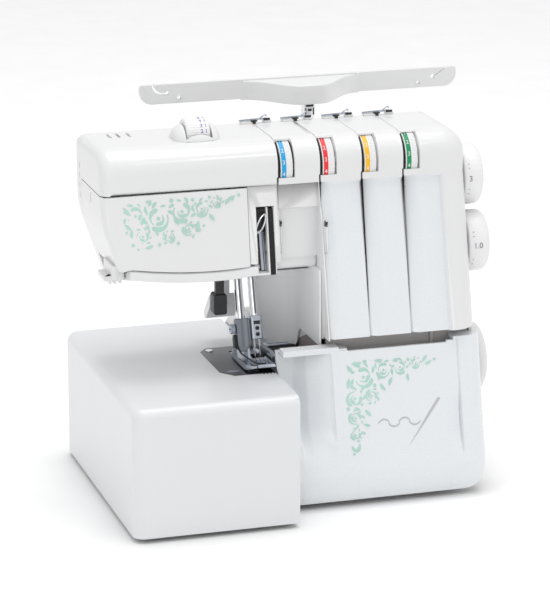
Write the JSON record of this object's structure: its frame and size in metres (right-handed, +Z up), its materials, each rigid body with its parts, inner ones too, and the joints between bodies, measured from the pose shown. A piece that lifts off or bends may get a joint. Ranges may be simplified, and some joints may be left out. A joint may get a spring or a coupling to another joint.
{
  "type": "serger overlock machine",
  "caption": "Overlock sewing machine with a slide-off extension table, leaning needle and presser bars, numbered tension wheels, a hinged looper door and a telescopic thread bar.",
  "frame": {"origin": "middle of the footprint box, on the table that the machine stands on", "axes": "+X to the operator's right along the machine, +Y away from the operator, +Z up"},
  "size_m": [0.357, 0.288, 0.3057],
  "materials": {
    "white_casing": "smooth moulded, slightly glossy",
    "blue_dial": "white wheel with a blue numbered band",
    "red_dial": "white wheel with a red numbered band",
    "yellow_dial": "white wheel with a yellow numbered band",
    "green_dial": "white wheel with a green numbered band",
    "black_plastic": "satin black",
    "rubber": "matt",
    "cast_frame": "cast, satin",
    "steel_plate": "brushed, dark",
    "steel": "satin",
    "chrome": "polished",
    "black_screw": "blackened",
    "grey_pins": "satin",
    "lamp_glass": "clear"
  },
  "bodies": {
    "machine": {"base_tray": "black_plastic", "rubber_feet": "rubber", "chassis": "cast_frame", "free_arm": "white_casing", "needle_plate": "steel_plate", "lower_knife": "steel", "front_cover": "white_casing", "face_cover": "white_casing", "head_base": "white_casing", "rear_cover": "white_casing", "rear_base_cover": "white_casing", "side_cover": "white_casing", "motor": "steel", "drive_belts": "rubber", "pivot_pins": "steel", "tension_posts": "steel", "dial_housing": "white_casing", "thread_shield": "black_plastic", "thread_guides": "chrome", "lamp": "lamp_glass", "spool_stand": "white_casing", "spool_pins": "grey_pins", "mast_tube": "chrome", "power_inlet": "black_plastic", "screws": "chrome"},
    "table": {"extension_table": "white_casing"},
    "cover_carrier": {"cover_hinge_rod": "chrome"},
    "cover": {"looper_cover": "white_casing"},
    "main_drive": {"handwheel": "white_casing", "main_shaft": "chrome", "lower_pulley": "steel"},
    "upper_drive": {"upper_shaft": "chrome", "upper_pulley": "steel"},
    "rotor": {"motor_pulley": "steel"},
    "needle_slide": {"needle_bar": "chrome", "needle_clamp": "steel", "needles": "chrome", "connecting_rod": "steel"},
    "presser_slide": {"presser_bar": "chrome", "foot_ankle": "steel", "foot_screw": "black_screw", "presser_spring": "steel"},
    "foot": {"presser_foot": "steel"},
    "lifter": {"lifter_lever": "white_casing"},
    "threader": {"needle_threader": "black_plastic"},
    "tension_1": {"tension_dial_1": "blue_dial"},
    "tension_2": {"tension_dial_2": "red_dial"},
    "tension_3": {"tension_dial_3": "yellow_dial"},
    "tension_4": {"tension_dial_4": "green_dial"},
    "length_dial": {"stitch_length_dial": "white_casing"},
    "ratio_dial": {"differential_dial": "white_casing"},
    "foot_pressure_dial": {"pressure_dial": "white_casing"},
    "knife": {"upper_knife": "steel"},
    "looper_up": {"upper_looper": "steel"},
    "looper_low": {"lower_looper": "steel"},
    "feed_main": {"main_feed_dog": "steel"},
    "feed_front": {"differential_feed_dog": "steel"},
    "mast": {"mast_rod": "chrome", "thread_guide_bar": "white_casing"},
    "switch": {"power_switch": "black_plastic"}
  },
  "joints": [
    {"name": "table_slide", "type": "slide", "parent": "machine", "child": "table", "axis": [-1, 0, 0], "range_m": [0, 0.13]},
    {"name": "cover_slide", "type": "slide", "parent": "machine", "child": "cover_carrier", "axis": [1, 0, 0], "range_m": [0, 0.006]},
    {"name": "cover_hinge", "type": "hinge", "parent": "cover_carrier", "child": "cover", "pos_m": [0.0375, -0.1, 0.014], "axis": [1, 0, 0], "range_deg": [0, 75]},
    {"name": "handwheel_turn", "type": "hinge", "parent": "machine", "child": "main_drive", "pos_m": [0.1275, -0.035, 0.092], "axis": [1, 0, 0], "continuous": true},
    {"name": "upper_shaft_turn", "type": "hinge", "parent": "machine", "child": "upper_drive", "pos_m": [0.0575, -0.014, 0.222], "axis": [1, 0, 0], "continuous": true},
    {"name": "motor_turn", "type": "hinge", "parent": "machine", "child": "rotor", "pos_m": [0.0575, 0.028, 0.05], "axis": [1, 0, 0], "continuous": true},
    {"name": "needle_bar_slide", "type": "slide", "parent": "machine", "child": "needle_slide", "axis": [0, 0.2874, 0.9578], "range_m": [-0.009, 0.015]},
    {"name": "presser_lift", "type": "slide", "parent": "machine", "child": "presser_slide", "axis": [0, 0.2874, 0.9578], "range_m": [0, 0.0055], "deforming": ["presser_spring"]},
    {"name": "foot_pivot", "type": "hinge", "parent": "presser_slide", "child": "foot", "pos_m": [-0.0585, -0.04258, 0.11706], "axis": [1, 0, 0], "range_deg": [-3, 0]},
    {"name": "lifter_hinge", "type": "hinge", "parent": "machine", "child": "lifter", "pos_m": [-0.0615, 0.005, 0.177], "axis": [1, 0, 0], "range_deg": [0, 40]},
    {"name": "threader_slide", "type": "slide", "parent": "machine", "child": "threader", "axis": [0, -0.2874, -0.9578], "range_m": [0, 0.01], "stiffness_N_per_m": 50, "springref_m": -0.01},
    {"name": "tension_dial_1_turn", "type": "hinge", "parent": "machine", "child": "tension_1", "pos_m": [-0.0295, -0.0454, 0.2672], "axis": [1, 0, 0], "range_deg": [-160, 140]},
    {"name": "tension_dial_2_turn", "type": "hinge", "parent": "machine", "child": "tension_2", "pos_m": [0.0048, -0.0454, 0.2672], "axis": [1, 0, 0], "range_deg": [-160, 140]},
    {"name": "tension_dial_3_turn", "type": "hinge", "parent": "machine", "child": "tension_3", "pos_m": [0.0391, -0.0454, 0.2672], "axis": [1, 0, 0], "range_deg": [-160, 140]},
    {"name": "tension_dial_4_turn", "type": "hinge", "parent": "machine", "child": "tension_4", "pos_m": [0.0734, -0.0454, 0.2672], "axis": [1, 0, 0], "range_deg": [-160, 140]},
    {"name": "stitch_length_turn", "type": "hinge", "parent": "machine", "child": "length_dial", "pos_m": [0.1275, -0.032, 0.245], "axis": [1, 0, 0], "range_deg": [-120, 120]},
    {"name": "differential_turn", "type": "hinge", "parent": "machine", "child": "ratio_dial", "pos_m": [0.1275, -0.045, 0.193], "axis": [1, 0, 0], "range_deg": [-60, 200]},
    {"name": "pressure_turn", "type": "hinge", "parent": "machine", "child": "foot_pressure_dial", "pos_m": [-0.0945, -0.032, 0.2922], "axis": [1, 0, 0], "range_deg": [-120, 120]},
    {"name": "upper_knife_swing", "type": "hinge", "parent": "machine", "child": "knife", "pos_m": [-0.0355, -0.011, 0.108], "axis": [1, 0, 0], "range_deg": [-8, 4]},
    {"name": "upper_looper_swing", "type": "hinge", "parent": "machine", "child": "looper_up", "pos_m": [-0.0275, -0.065, 0.052], "axis": [1, 0, 0], "range_deg": [-8, 8]},
    {"name": "lower_looper_swing", "type": "hinge", "parent": "machine", "child": "looper_low", "pos_m": [-0.0255, -0.043, 0.04], "axis": [0, 1, 0], "range_deg": [-8, 8]},
    {"name": "main_feed_slide", "type": "slide", "parent": "machine", "child": "feed_main", "axis": [0, 1, 0], "range_m": [-0.0015, 0.0015]},
    {"name": "differential_feed_slide", "type": "slide", "parent": "machine", "child": "feed_front", "axis": [0, 1, 0], "range_m": [-0.0015, 0.0015]},
    {"name": "mast_slide", "type": "slide", "parent": "machine", "child": "mast", "axis": [0, 0, 1], "range_m": [0, 0.15]},
    {"name": "switch_rock", "type": "hinge", "parent": "machine", "child": "switch", "pos_m": [0.1185, 0.07, 0.035], "axis": [0, 1, 0], "range_deg": [-8, 8]}
  ],
  "couplings": [
    {"joint": "handwheel_turn", "follows": "motor_turn", "ratio": 0.21429},
    {"joint": "upper_shaft_turn", "follows": "motor_turn", "ratio": 0.21429},
    {"joint": "presser_lift", "follows": "lifter_hinge", "m_per_rad": 0.007877}
  ]
}
